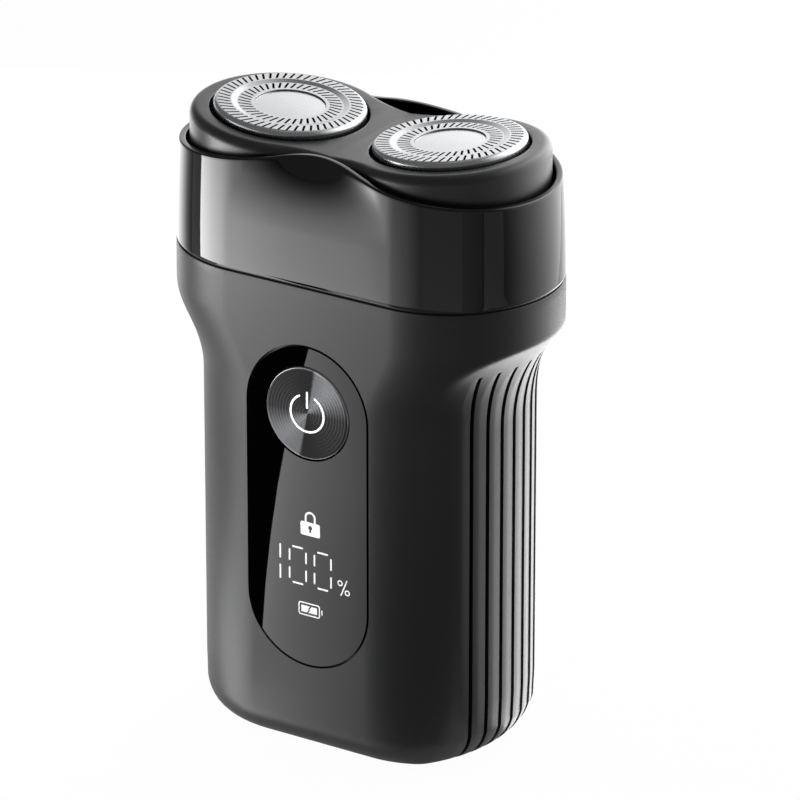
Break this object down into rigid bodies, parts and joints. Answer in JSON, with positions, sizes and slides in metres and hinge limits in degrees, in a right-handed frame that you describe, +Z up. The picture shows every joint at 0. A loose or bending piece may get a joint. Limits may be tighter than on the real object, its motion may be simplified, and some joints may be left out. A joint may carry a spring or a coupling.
{
  "type": "electric shaver",
  "caption": "Pocket rotary shaver with a lift-off head of slotted steel caps over turning cutters, a gear drive, a ribbed flared handle, a display window and a push button.",
  "frame": {"origin": "middle of the flat base, on the standing surface", "axes": "+Z up through the handle towards the shaving heads, -Y is the front with the display window, X runs across the two heads"},
  "size_m": [0.0598, 0.0328, 0.0934],
  "materials": {
    "body_abs": "fine matt texture",
    "collar_gloss": "piano black gloss",
    "window_gloss": "clear-coated black",
    "button_metal": "spun, dark anodised",
    "button_plastic": "moulded",
    "deck_satin": "satin",
    "cap_steel": "polished",
    "disc_steel": "polished",
    "cutter_steel": "ground",
    "acetal": "natural",
    "chassis_plastic": "moulded",
    "circuit": "solder mask",
    "cell": "shrink wrap",
    "nickel": "bright",
    "motor_steel": "zinc plated",
    "brass": "machined",
    "copper": "wound",
    "seal": "matt",
    "led": "smoked"
  },
  "bodies": {
    "handle": {"handle_shell": "body_abs", "display_window": "window_gloss", "usb_socket": "motor_steel", "head_shell": "collar_gloss", "tact_switch": "chassis_plastic", "display_board": "circuit", "led_module": "led", "main_board": "circuit", "usb_tongue": "chassis_plastic", "battery_cell": "cell", "battery_tabs": "nickel", "chassis": "chassis_plastic", "motor_case": "motor_steel", "motor_end_cap": "chassis_plastic", "gear_base": "chassis_plastic", "motor_screws": "motor_steel", "collar_screws": "motor_steel", "gear_axles": "motor_steel", "thrust_washers": "nickel", "hub_seals": "seal", "seam_gasket": "seal"},
    "power_button": {"button_face": "button_metal", "button_carrier": "button_plastic"},
    "rotor": {"motor_armature": "copper", "motor_shaft": "motor_steel", "drive_pinion": "brass"},
    "head_frame": {"head_frame": "deck_satin", "retainer_plate": "chassis_plastic"},
    "gear_left": {"gear_left": "acetal", "hub_cap_left": "acetal", "spindle_spring_left": "motor_steel"},
    "spindle_left": {"spindle_left": "acetal"},
    "cap_left": {"shaving_cap_left": "cap_steel", "cap_disc_left": "disc_steel"},
    "cutter_left": {"cutter_left": "cutter_steel", "cutter_hub_left": "acetal"},
    "gear_right": {"gear_right": "acetal", "hub_cap_right": "acetal", "spindle_spring_right": "motor_steel"},
    "spindle_right": {"spindle_right": "acetal"},
    "cap_right": {"shaving_cap_right": "cap_steel", "cap_disc_right": "disc_steel"},
    "cutter_right": {"cutter_right": "cutter_steel", "cutter_hub_right": "acetal"}
  },
  "joints": [
    {"name": "power_button_press", "type": "slide", "parent": "handle", "child": "power_button", "axis": [0, 1, 0], "range_m": [0, 0.0005], "stiffness_N_per_m": 1500},
    {"name": "head_frame_lift", "type": "slide", "parent": "handle", "child": "head_frame", "axis": [0, 0, 1], "range_m": [0, 0.025]},
    {"name": "gear_left_spin", "type": "hinge", "parent": "handle", "child": "gear_left", "pos_m": [-0.014, 0, 0.0707], "axis": [0, 0, 1], "continuous": true},
    {"name": "gear_right_spin", "type": "hinge", "parent": "handle", "child": "gear_right", "pos_m": [0.014, 0, 0.0707], "axis": [0, 0, 1], "continuous": true},
    {"name": "rotor_spin", "type": "hinge", "parent": "handle", "child": "rotor", "pos_m": [0, 0, 0.0707], "axis": [0, 0, 1], "continuous": true},
    {"name": "cap_left_float", "type": "slide", "parent": "head_frame", "child": "cap_left", "axis": [0.0819, 0, 0.9966], "range_m": [-0.001, 0], "stiffness_N_per_m": 2000},
    {"name": "spindle_left_slide", "type": "slide", "parent": "gear_left", "child": "spindle_left", "axis": [0, 0, 1], "range_m": [-0.001, 0], "deforming": ["spindle_spring_left"]},
    {"name": "cutter_left_spin", "type": "hinge", "parent": "cap_left", "child": "cutter_left", "pos_m": [-0.0135, 0, 0.0915], "axis": [0.0819, 0, 0.9966], "continuous": true},
    {"name": "cap_right_float", "type": "slide", "parent": "head_frame", "child": "cap_right", "axis": [-0.0819, 0, 0.9966], "range_m": [-0.001, 0], "stiffness_N_per_m": 2000},
    {"name": "spindle_right_slide", "type": "slide", "parent": "gear_right", "child": "spindle_right", "axis": [0, 0, 1], "range_m": [-0.001, 0], "deforming": ["spindle_spring_right"]},
    {"name": "cutter_right_spin", "type": "hinge", "parent": "cap_right", "child": "cutter_right", "pos_m": [0.0135, 0, 0.0915], "axis": [-0.0819, 0, 0.9966], "continuous": true}
  ],
  "couplings": [
    {"joint": "gear_left_spin", "follows": "rotor_spin", "ratio": -0.33333},
    {"joint": "gear_right_spin", "follows": "rotor_spin", "ratio": -0.33333},
    {"joint": "spindle_left_slide", "follows": "cap_left_float", "ratio": 1},
    {"joint": "cutter_left_spin", "follows": "rotor_spin", "ratio": -0.33333},
    {"joint": "spindle_right_slide", "follows": "cap_right_float", "ratio": 1},
    {"joint": "cutter_right_spin", "follows": "rotor_spin", "ratio": -0.33333}
  ]
}
